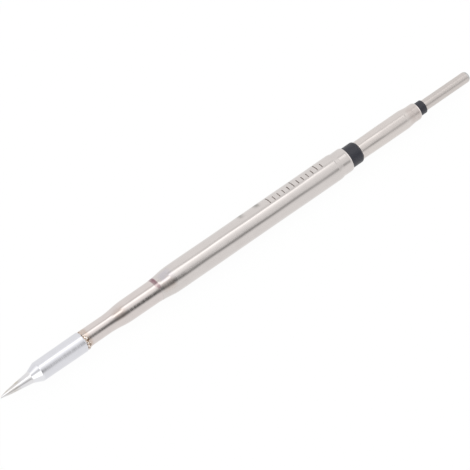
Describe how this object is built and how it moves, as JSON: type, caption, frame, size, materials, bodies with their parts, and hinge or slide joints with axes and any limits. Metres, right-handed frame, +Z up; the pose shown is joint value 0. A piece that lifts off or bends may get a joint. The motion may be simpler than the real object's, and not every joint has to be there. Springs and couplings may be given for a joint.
{
  "type": "soldering iron tip",
  "caption": "Slim cartridge soldering tip: conical nose and barrel, narrow heated neck, long steel body, and a middle and a rear contact in black insulating rings.",
  "frame": {"origin": "on the axis, at the middle of the body tube's long cylinder, where the handle holds it", "axes": "+X along the axis towards the rear contact, so the nose points to -X; +Z is up as it lies, and the part is round about X"},
  "size_m": [0.0979, 0.0046, 0.0046],
  "materials": {
    "plated_copper": "bright plated",
    "braze_filler": "heat tinted filler",
    "sheath_steel": "drawn, bright",
    "body_steel": "drawn, satin",
    "contact_steel": "turned, satin",
    "black_insulator": "moulded, matte",
    "heating_alloy": "rolled ribbon",
    "lead_nickel": "rolled strip",
    "alumina": "fired, unglazed"
  },
  "bodies": {
    "root": {"solder_bit": "plated_copper", "braze_ring": "braze_filler", "front_sheath": "sheath_steel", "body_tube": "body_steel", "front_insulator": "black_insulator", "middle_contact": "contact_steel", "rear_insulator": "black_insulator", "rear_contact": "contact_steel", "heater_core": "alumina", "heater_coil": "heating_alloy", "heater_liner": "alumina", "heater_cap": "alumina", "sensor_lead": "lead_nickel", "heater_lead": "lead_nickel", "lead_insulator": "alumina", "centring_ring": "alumina", "centre_sleeve": "alumina"}
  },
  "joints": []
}
